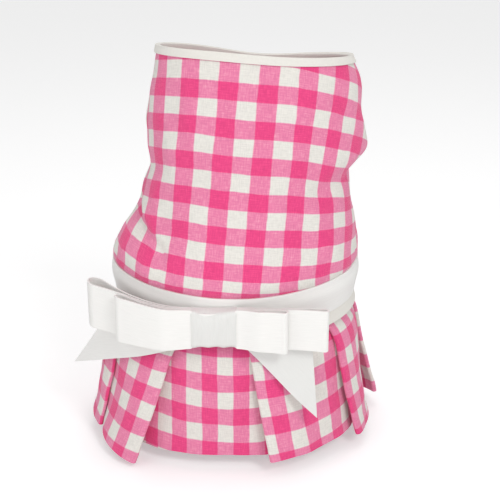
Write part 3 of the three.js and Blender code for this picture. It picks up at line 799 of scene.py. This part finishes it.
def binding_profile(width, clearance):
    """Corners of a strip folded over an edge: out along the cloth, and across it."""
    slot = CLOTH_WALL / 2 + clearance
    skin = slot + BINDING_WALL
    nose = -clearance - BINDING_WALL
    outside = [(width * s, skin + BINDING_CROWN * (s - s**3)) for s in CROWN_SHARES]
    cut, edge = nose + BINDING_CORNER, skin - BINDING_CORNER
    bend = skin - BINDING_BEND
    corner = [(cut, edge), (nose, bend), (nose, 0.0), (nose, -bend), (cut, -edge)]
    inside = [(width * s, -skin) for s in (0.0, 0.5, 1.0)]
    back = [(width, -slot), (-clearance, -slot), (-clearance, slot), (width, slot)]
    return outside + corner + inside + back


def ring_piece(name, loops, material):
    """Closed ring through loops of points; u runs round the ring and v round the section."""
    count, sides = loops.shape[:2]
    faces, corners = [], []
    ring_length = running(np.linalg.norm(np.roll(loops, -1, 0) - loops, axis=-1).mean(1))
    side_length = running(np.linalg.norm(np.roll(loops, -1, 1) - loops, axis=-1).mean(0))
    for i in range(count):
        for j in range(sides):
            places = [(i, j), (i, j + 1), (i + 1, j + 1), (i + 1, j)]
            faces.append([(a % count) * sides + b % sides for a, b in places])
            corners.extend((ring_length[a], side_length[b]) for a, b in places)
    return mesh_piece(name, loops.reshape(-1, 3), faces, corners, material)


def bodice_normal(angle, down):
    along = bodice_point(angle + NORMAL_STEP, down) - bodice_point(angle - NORMAL_STEP, down)
    above = bodice_point(angle, np.maximum(0, down - NORMAL_STEP))
    below = bodice_point(angle, down + NORMAL_STEP) - above
    return unit(np.cross(below, along))


def neck_binding():
    angles = around(NECK_COLUMNS)
    normals = bodice_normal(angles, np.full_like(angles, NECK_NORMAL_DOWN))
    loops = []
    for out, across in binding_profile(BINDING_WIDTH, BINDING_SLOT):
        place = bodice_point(angles, np.full_like(angles, max(0, out) / BODICE_LENGTH))
        place[:, 2] += max(0, -out)
        loops.append(place + normals * across)
    piece = ring_piece("neck_binding_strip", np.stack(loops, 1), BINDING)
    return dress(piece, ["neck_binding"])


def leg_binding(side, node):
    turns = around(LEG_COLUMNS)
    turns = turns[::-1] if side > 0 else turns
    centre, reach = leg_place(side)
    loops = []
    for out, across in binding_profile(LEG_BINDING_WIDTH, LEG_BINDING_SLOT):
        angle = centre + side * (LEG_WIDTH / 2 + out) * np.cos(turns) / reach
        down = (LEG_DROP + (LEG_HEIGHT / 2 + out) * np.sin(turns)) / BODICE_LENGTH
        loops.append(bodice_point(angle, down) + bodice_normal(angle, down) * across)
    piece = ring_piece(node + "_strip", np.stack(loops, 1), BINDING)
    return dress(piece, [node])


# Sash and waistband

BAND_OFFSET = GAP + CLOTH_WALL / 2
SASH_OFFSET = GAP + CLOTH_WALL + GAP + RIBBON_WALL / 2
SASH_TUCK = 2.9
SASH_CLEARANCE = 0.15
SASH_CLOSE = 0.3
SASH_COLUMNS, SASH_ROWS = 280, 28
WAISTBAND_COLUMNS, WAISTBAND_ROWS = 240, 16


def band_uv(grid):
    return np.stack([lengths_round(grid, 0), wrap(lengths_down(grid))], -1)


def waistband():
    angles = around(WAISTBAND_COLUMNS)[None, :]
    drops = np.linspace(WAISTBAND_DROP, WAISTBAND_DROP + WAISTBAND_WIDTH, WAISTBAND_ROWS)[:, None]
    shown = WAISTBAND_DROP + WAISTBAND_WIDTH - GAP - SASH_WIDTH
    spread = np.clip((drops - GAP - SASH_WIDTH) / shown, 0, 1)
    grid = waist_point(angles, BAND_OFFSET + spread * WAISTBAND_FLARE, drops)
    piece = sheet_piece("waistband_strip", grid, CLOTH_WALL, True, band_uv(grid), BINDING)
    return dress(piece, ["waistband"])


def sash():
    """Ribbon round the waist, with its upper edge close against the roll of the bodice."""
    angles = around(SASH_COLUMNS)[None, :]
    shares = np.linspace(-SASH_TUCK / SASH_WIDTH, 1, SASH_ROWS)[:, None]
    bulge = SASH_BULGE * column(SASH_SECTIONS, "bulge", shares)
    grid = waist_point(angles, SASH_OFFSET + bulge, GAP + shares * SASH_WIDTH)
    edge = bodice_point(angles, 1 - (SASH_TUCK - GAP) / (neck_height(angles) - waist_height(angles)))
    edge = edge + polar(angles, CLOTH_WALL / 2 + SASH_CLEARANCE + RIBBON_WALL / 2, 0, 0)
    close = smooth(1 - (shares + SASH_TUCK / SASH_WIDTH) / SASH_CLOSE)[..., None]
    grid[..., :2] = mix(grid[..., :2], edge[..., :2], close)
    piece = sheet_piece("sash_ribbon", grid, RIBBON_WALL, True, band_uv(grid), SATIN)
    return dress(piece, ["waist_sash"])


# Skirt

PITCH = CLOTH_WALL + PLEAT_GAP
SKIRT_ROWS = 70
SKIRT_WAVE = 1.5
HEM_TURN = 7
HEM_TURN_BLUR = 1.5
HEM_SWELL = 0.5
LIFT_FADE, SAG_FADE = 1.3, 1.5

# Points along a half of the skirt: over the front, then for each pleat round the inner fold, back
# under the cloth, round the outer fold and on over the next pleat's cloth
FRONT_POINTS = 14
FOLD_POINTS = 5
UNDER_POINTS = 8
OVER_POINTS = 26
PLEAT_POINTS = FOLD_POINTS + UNDER_POINTS + FOLD_POINTS + OVER_POINTS
OUTER_FOLD_POINT = FOLD_POINTS + UNDER_POINTS + FOLD_POINTS // 2


def fold_path(angle, way, layer, reach, lift, sag):
    """Half turn from one layer of cloth to the next, without its ends."""
    turns = np.linspace(0, math.pi, FOLD_POINTS + 2)[1:-1]
    bulge = way * PITCH / 2 / reach
    return [(angle + math.sin(turn) * bulge, layer - math.cos(turn) / 2, lift, sag) for turn in turns]


def pleated_half(pleats, down):
    """Folded strip from the front centre to the back centre: angle, layer, lift and sag."""
    flare = float(column(SKIRT_SECTIONS, "flare", down))
    reach = mix(WAIST_REACH["front"], HEM_REACH["front"], flare)
    folds = [math.radians(mix(pleat["waist"], pleat["hem"], down)) for pleat in pleats] + [math.pi]
    hidden = [a + min(PLEAT_UNDERLAP / reach, (b - a) / 2) for a, b in zip(folds, folds[1:])]
    hidden.append(math.pi)
    path = [(hidden[0] * s, -1 - smooth(s), 0, FRONT_SAG) for s in np.linspace(0, 1, FRONT_POINTS)]
    for k, pleat in enumerate(pleats):
        lift, sag = pleat["lift"], pleat["sag"]
        inner = 0 if k else FRONT_SAG
        path += fold_path(hidden[k], 1, -1.5, reach, 0, inner)
        for s in np.linspace(0, 1, UNDER_POINTS):
            path.append((mix(hidden[k], folds[k], s), -1, lift * s, mix(inner, sag, s)))
        path += fold_path(folds[k], -1, -0.5, reach, lift, sag)
        last_layer = 0 if k + 1 == len(pleats) else -2
        for s in np.linspace(0, 1, OVER_POINTS):
            angle, layer = mix(folds[k], hidden[k + 1], s), last_layer * smooth(s)
            path.append((angle, layer, lift * (1 - smooth(s)) ** LIFT_FADE, sag * (1 - s) ** SAG_FADE))
    return np.array(path)


def skirt_point(angle, layer, lift, sag, down):
    flare = column(SKIRT_SECTIONS, "flare", down)
    opening = column(SKIRT_SECTIONS, "lift", down)
    reach = {name: mix(WAIST_REACH[name], HEM_REACH[name], flare) for name in WAIST_REACH}

    def base(turn):
        return polar(turn, oval_reach(turn, **reach) - CLOTH_WALL / 2 - SKIRT_EASE, -LEAN, 0)

    ahead = unit(base(angle + NORMAL_STEP) - base(angle - NORMAL_STEP))
    outwards = np.stack([ahead[..., 1], -ahead[..., 0], np.zeros_like(angle)], -1)
    wave = SKIRT_WAVE * cloth_waves(angle * HEM_REACH["front"], down * SKIRT_LENGTH) * opening
    out = layer * PITCH + lift * opening * PLEAT_LIFT + wave
    place = base(angle) + outwards * out[..., None]
    top = waist_height(angle) - SEAM_ALLOWANCE - GAP - CLOTH_WALL / 2
    hem = -BODICE_LENGTH - SEAM_ALLOWANCE - SKIRT_LENGTH - sag * PLEAT_SAG * opening
    place[..., 2] = mix(top, hem, down)
    return place


def skirt():
    downs = np.linspace(0, 1, SKIRT_ROWS)
    places, across = [], []
    for down in downs:
        right = pleated_half(RIGHT_PLEATS, down)
        left = pleated_half(LEFT_PLEATS, down)
        left[:, 0] = 2 * math.pi - left[:, 0]
        angle, layer, lift, sag = np.concatenate([right, left[::-1][1:-1]]).T
        places.append(skirt_point(angle, layer, lift, sag, down))
        columns, starts, heights = panel_checks(places[-1], len(right), len(left))
        across.append(columns)
    grid = np.stack(places)
    along = lengths_down(grid) / heights + starts
    uv = np.stack([wrap(np.stack(across)), wrap(along)], -1)
    turned = smooth(((downs - 1) * SKIRT_LENGTH + HEM_TURN) / HEM_TURN_BLUR + 0.5)
    wall = (CLOTH_WALL + HEM_SWELL * turned)[:, None, None]
    piece = sheet_piece("skirt_cloth", grid, wall, True, uv, GINGHAM)
    return dress(piece, ["skirt"])


def panel_checks(place, right_count, left_count):
    """Check count along the strip, and the start and height of its rows, set at each panel's fold."""
    total = running(np.linalg.norm(place[1:] - place[:-1], axis=-1)) / SKIRT_CHECK[0]
    whole = total[-1] + np.linalg.norm(place[0] - place[-1]) / SKIRT_CHECK[0]
    checks = total + FRONT_PANEL["checks"]
    checks[1 - FRONT_POINTS:] -= whole
    starts = np.full(len(place), FRONT_PANEL["rows"])
    heights = np.full(len(place), SKIRT_CHECK[1])
    mirrored = len(place) - np.arange(left_count - 1)
    for pleats, indices, way in ((RIGHT_PLEATS, np.arange(right_count), 1), (LEFT_PLEATS, mirrored, -1)):
        for k, pleat in enumerate(pleats):
            first = FRONT_POINTS + k * PLEAT_POINTS
            panel = indices[first:first + PLEAT_POINTS]
            fold = indices[first + OUTER_FOLD_POINT]
            checks[panel] = (total[panel] - total[fold]) / pleat["wide"] + way * pleat["checks"]
            starts[panel] = pleat["rows"]
            heights[panel] = SKIRT_CHECK[1] * pleat["tall"]
    return checks, starts, heights


# Bow

LAYER = RIBBON_WALL + GAP
BOW_BASE = WAIST_REACH["front"] + SASH_OFFSET + SASH_BULGE + RIBBON_WALL / 2 + GAP
BOW_HEIGHT = -BODICE_LENGTH - BOW_DROP
GATHER_END = KNOT_WIDTH / 2 + GAP
SPREAD_STRETCH = 0.12 * RIBBON_WIDTH
PUFF_STRETCH = 0.6 * RIBBON_WIDTH
GATHER_HIDDEN = 3.2

# Layers of ribbon, counted out from the sash
KNOT_REAR, TAIL_LAYER, KNOT_FRONT = 0, 1, 6
LOOP_POINTS, LOOP_END_POINTS, LOOP_ROWS = 54, 9, 14
TAIL_COLUMNS, TAIL_ROWS = 60, 16


def bow_point(across, out, up):
    across, out, up = np.broadcast_arrays(np.asarray(across, float), out, up)
    left = across < 0
    bend = np.where(left, BOW_LEFT_BEND, BOW_RIGHT_BEND)
    wing = np.where(left, BOW_LEFT_REACH, BOW_RIGHT_REACH) - KNOT_WIDTH / 2
    beyond = np.maximum(0, np.abs(across) - KNOT_WIDTH / 2)
    slope = 2 * bend * beyond * np.sign(across) / wing**2
    outwards = unit(np.stack([slope, -np.ones_like(slope), np.zeros_like(slope)], -1))
    curl = (beyond / wing) ** 2
    rise = np.where(left, BOW_LEFT_RISE * curl, 0)
    guide = np.stack([across - BOW_OFFSET, bend * curl - BOW_BASE, BOW_HEIGHT + rise + up], -1)
    return guide + outwards * out[..., None]


def layer_depth(layer):
    return RIBBON_WALL / 2 + layer * LAYER


def loop_depths(loop, across):
    """Depths of a loop's rear and front. Both puff out, and the front opens towards its ends."""
    puff = LOOP_PUFF * rising(np.abs(across), GATHER_END, PUFF_STRETCH)
    reach = np.where(across < 0, loop["left"], loop["right"])
    share = np.maximum(0, np.abs(across) / reach - OPEN_START) / (1 - OPEN_START)
    opening = LOOP_PUFF * np.where(across < 0, loop["left_open"], loop["right_open"]) * share**2
    rear = layer_depth(loop["layer"]) + loop["rear_puff"] * puff
    front = layer_depth(loop["layer"] + 1) + loop["front_puff"] * puff + opening
    return rear, front


def loop_end(loop, across, way):
    """Half turn from the rear to the front at the end of a loop."""
    rear, front = loop_depths(loop, across)
    bulge = (front - rear) / 2
    turns = np.linspace(0, math.pi, LOOP_END_POINTS)[1:-1]
    return np.stack([across + way * np.sin(turns) * bulge, rear + bulge * (1 - np.cos(turns))], -1)


def loop_path(loop):
    """Ribbon of a pair of loops, across and out: along the rear, and back along the front."""
    under = GATHER_END - GATHER_HIDDEN
    left = np.linspace(-loop["left"], -under, LOOP_POINTS)
    right = np.linspace(under, loop["right"], LOOP_POINTS)
    stations = np.concatenate([left, right])
    rear, front = loop_depths(loop, stations)
    return np.concatenate([
        np.stack([stations, rear], -1),
        loop_end(loop, loop["right"], 1),
        np.stack([stations, front], -1)[::-1],
        loop_end(loop, -loop["left"], -1)[::-1],
    ])


def bow_loop(loop):
    across, out = loop_path(loop).T
    reach = np.where(across < 0, loop["left"], loop["right"])
    outwards = np.clip((np.abs(across) - GATHER_END) / (reach - GATHER_END), 0, 1)
    spread = mix(BOW_NARROW, np.where(across < 0, BOW_LEFT_SPREAD, 1), outwards)
    spreading = rising(np.abs(across) + GATHER_HIDDEN, GATHER_END, SPREAD_STRETCH)
    gathered = KNOT_HEIGHT / 2 - RIBBON_WALL - 2 * GAP
    half = mix(gathered, spread * RIBBON_WIDTH / 2, spreading)
    ups = np.linspace(1, -1, LOOP_ROWS)[:, None]
    grid = bow_point(across, out, ups * half)[:, ::-1]
    piece = sheet_piece(loop["name"], grid, RIBBON_WALL, True, band_uv(grid), SATIN)
    return dress(piece, [loop["node"]])


KNOT_REAR_CORNER = 0.8
KNOT_FRONT_CORNER = 2.4
KNOT_CROWN = 0.5
KNOT_ROLL, KNOT_ROLL_POWER = 1.0, 5
KNOT_FLARE = 0.7
KNOT_PINCH = 0.03
KNOT_COLUMNS = 60
KNOT_REAR_POINTS, KNOT_SIDE_POINTS, KNOT_FRONT_POINTS = 14, 8, 26
REAR_ARC_POINTS, FRONT_ARC_POINTS = 6, 8
KNOT_RIBS, KNOT_RIB_DEPTH, KNOT_RIB_MIDDLE = 6.5, 0.20, 0.4
RIB_WANDER, RIB_WANDER_RIBS = 0.7, 2.7
RIB_EVENNESS, RIB_SWELL_RIBS = 0.6, 3.3

# Dip of the knot's upper edge with a crest beside it, and waves of its lower edge
KNOT_DIP, KNOT_DIP_BELL, KNOT_DIP_RISE = 3.6, (-0.16, 0.30), (0.1, 0.8)
KNOT_CREST, KNOT_CREST_BELL = 0.45, (-0.40, 0.07)
KNOT_EDGE, KNOT_EDGE_WAVES, KNOT_EDGE_TURN, KNOT_EDGE_RISE = 0.35, 2.925, 0.6, (0.3, 0.6)


def arc(centre, radius, start, stop, count):
    """Points (out, up) on a quarter turn, without its first one."""
    turns = np.radians(np.linspace(start, stop, count))[1:]
    return [(centre[0] + radius * math.cos(t), centre[1] + radius * math.sin(t)) for t in turns]


def knot_path():
    """Section of the knot: up the rear, over the top, down the front and back below."""
    rear, front = layer_depth(KNOT_REAR), layer_depth(KNOT_FRONT)
    half = KNOT_HEIGHT / 2 - RIBBON_WALL / 2
    small, large = KNOT_REAR_CORNER, KNOT_FRONT_CORNER
    path = [(rear, u) for u in np.linspace(small - half, half - small, KNOT_REAR_POINTS)]
    path += arc((rear + small, half - small), small, 180, 90, REAR_ARC_POINTS)
    path += [(out, half) for out in np.linspace(rear + small, front - large, KNOT_SIDE_POINTS)[1:]]
    path += arc((front - large, half - large), large, 90, 0, FRONT_ARC_POINTS)
    path += [(front, u) for u in np.linspace(half - large, large - half, KNOT_FRONT_POINTS)[1:]]
    path += arc((front - large, large - half), large, 0, -90, FRONT_ARC_POINTS)
    path += [(out, -half) for out in np.linspace(front - large, rear + small, KNOT_SIDE_POINTS)[1:]]
    path += arc((rear + small, small - half), small, -90, -180, REAR_ARC_POINTS)[:-1]
    return np.array(path)


def knot_ribs(share):
    """Uneven fine ribs that run round the knot."""
    turn = 2 * math.pi * share * KNOT_RIBS
    wander = RIB_WANDER * np.sin(turn / RIB_WANDER_RIBS + 1)
    return np.sin(turn + wander) * mix(np.sin(turn / RIB_SWELL_RIBS), 1, RIB_EVENNESS)


def knot_edges(share, level, depth):
    """How far the dip and the waves move the knot's edges up."""
    dip = bell(share, *KNOT_DIP_BELL) - KNOT_CREST * bell(share, *KNOT_CREST_BELL)
    dip = KNOT_DIP * dip * depth**2 * rising(level, *KNOT_DIP_RISE)
    wave = KNOT_EDGE * np.sin(2 * math.pi * share * KNOT_EDGE_WAVES + KNOT_EDGE_TURN)
    return wave * rising(-level, *KNOT_EDGE_RISE) * depth - dip


def bow_knot():
    out, up = knot_path().T
    share = np.linspace(-0.5, 0.5, KNOT_COLUMNS)[:, None]
    rear, front = layer_depth(KNOT_REAR), layer_depth(KNOT_FRONT)
    depth = np.clip((out - rear) / (front - rear), 0, 1)
    level = up / (KNOT_HEIGHT / 2)
    rolled = np.abs(2 * share) ** KNOT_ROLL_POWER
    crown = KNOT_CROWN * (1 - level**2) - KNOT_ROLL * rolled
    ribs = KNOT_RIB_DEPTH * knot_ribs(share) * mix(1, KNOT_RIB_MIDDLE, 1 - np.abs(level))
    flare = KNOT_FLARE * rolled * np.sign(up) * np.abs(level)
    across = share * KNOT_WIDTH * (1 - KNOT_PINCH * (1 - level**2))
    raised = up + flare + knot_edges(share, level, depth)
    grid = bow_point(across, out + depth**2 * (crown + ribs), raised)
    # The knot takes the darker copy of the satin: painted shade
    piece = sheet_piece("knot_wrap", grid, RIBBON_WALL, True, band_uv(grid), SATIN_SHADED)
    return dress(piece, ["bow_knot"])


def bow_tail(side, name, node, table, reach, material):
    at = np.linspace(0, 1, TAIL_COLUMNS)
    numbered = [{**row, "at": k / (len(table) - 1)} for k, row in enumerate(table)]
    edge = {key: column(numbered, key, at, "at") for key in table[0]}
    shares = np.linspace(0, 1, TAIL_ROWS)[:, None]
    across = side * reach * mix(edge["high_along"], edge["low_along"], shares)
    up = -RIBBON_WIDTH * mix(edge["high_drop"], edge["low_drop"], shares)
    lean = TAIL_LEAN * np.maximum(0, -up - TAIL_LEAN_START * RIBBON_WIDTH)
    grid = bow_point(across, layer_depth(TAIL_LAYER) + lean, up)
    grid = grid if side > 0 else grid[:, ::-1]
    along = np.stack([running(steps) for steps in np.linalg.norm(np.diff(grid, axis=1), axis=-1)])
    uv = np.stack(np.broadcast_arrays(along, shares * RIBBON_WIDTH), -1)
    piece = sheet_piece(name, grid, RIBBON_WALL, False, uv, material)
    return dress(piece, [node])


# Scene

CAMERA_TARGET = (-0.003, 0.0, -0.140)
CAMERA_DISTANCE = 0.750
CAMERA_ELEVATION = math.radians(20)
SENSOR_WIDTH, LENS = 36, 78.26
CLIP_START = 0.01
LIGHT_TARGET = (0, 0, -0.13)
LIGHTS = named_rows(
    "name place size power",
    ("key", (0.5, -0.9, 0.7), 0.4, 4.9),
    ("fill", (-0.9, -0.6, 0.2), 0.8, 1.5),
    ("low", (-0.1, -0.8, -0.25), 0.4, 1.7),
    ("top", (0.1, 0.3, 1.0), 0.8, 2.6),
)
FLOOR_SIZE, FLOOR_GAP = 6, 0.003
FLOOR_COLOUR, FLOOR_ROUGHNESS, FLOOR_GLOW = (0.8, 0.8, 0.8, 1), 0.9, 0.35
WHITE = (1, 1, 1, 1)
WORLD_LIGHT, WORLD_SEEN = 0.60, 1.0


def aimed(name, data, place, target):
    """Camera or light that looks from a place at a target."""
    made = bpy.data.objects.new(name, data)
    bpy.context.collection.objects.link(made)
    x, y, z = np.array(place) - np.array(target)
    made.location = place
    made.rotation_euler = (math.atan2(math.hypot(x, y), z), 0, math.atan2(x, -y))
    return made


def camera():
    data = bpy.data.cameras.new("camera")
    data.sensor_width = SENSOR_WIDTH
    data.lens = LENS
    data.clip_start = CLIP_START
    x, y, z = CAMERA_TARGET
    ahead = CAMERA_DISTANCE * math.cos(CAMERA_ELEVATION)
    above = CAMERA_DISTANCE * math.sin(CAMERA_ELEVATION)
    bpy.context.scene.camera = aimed("camera", data, (x, y - ahead, z + above), CAMERA_TARGET)


def light(name, place, size, power):
    data = bpy.data.lights.new(name, "AREA")
    data.shape = "DISK"
    data.size = size
    data.energy = power
    aimed(name, data, place, LIGHT_TARGET)


def floor():
    """Pale floor that glows only as the camera sees it."""
    bpy.ops.mesh.primitive_plane_add(size=FLOOR_SIZE, location=(0, 0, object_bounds()[0][2] - FLOOR_GAP))
    plane = bpy.context.object
    plane.name = "floor"
    shader = Shader("floor")
    seen = shader.add("LightPath").outputs["Is Camera Ray"]
    plane.data.materials.append(shader.finish(
        Base_Color=FLOOR_COLOUR, Roughness=FLOOR_ROUGHNESS,
        Emission_Color=WHITE, Emission_Strength=shader.math("MULTIPLY", seen, FLOOR_GLOW),
    ))
    plane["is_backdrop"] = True


def surroundings():
    """White world, brighter as the camera sees it than as a light."""
    world = bpy.data.worlds.new("world")
    bpy.context.scene.world = world
    world.use_nodes = True
    tree = world.node_tree
    path = tree.nodes.new("ShaderNodeLightPath")
    level = tree.nodes.new("ShaderNodeMapRange")
    level.inputs["To Min"].default_value = WORLD_LIGHT
    level.inputs["To Max"].default_value = WORLD_SEEN
    tree.links.new(path.outputs["Is Camera Ray"], level.inputs["Value"])
    background = tree.nodes["Background"].inputs
    tree.links.new(level.outputs[0], background["Strength"])
    background["Color"].default_value = WHITE


bpy.context.scene.view_settings.view_transform = "Standard"
camera()
bodice()
neck_binding()
leg_binding(-1, "leg_binding_left")
leg_binding(1, "leg_binding_right")
waistband()
sash()
skirt()
bow_tail(-1, "tail_left_ribbon", "bow_tail_left", LEFT_TAIL, TAIL_LEFT_REACH, SATIN)
# The right tail takes the satin with painted shade, the left tail the plain satin
bow_tail(1, "tail_right_ribbon", "bow_tail_right", RIGHT_TAIL, TAIL_RIGHT_REACH, SATIN_SHADED)
for pair in LOOPS:
    bow_loop(pair)
bow_knot()
floor()
surroundings()
for lamp in LIGHTS:
    light(**lamp)
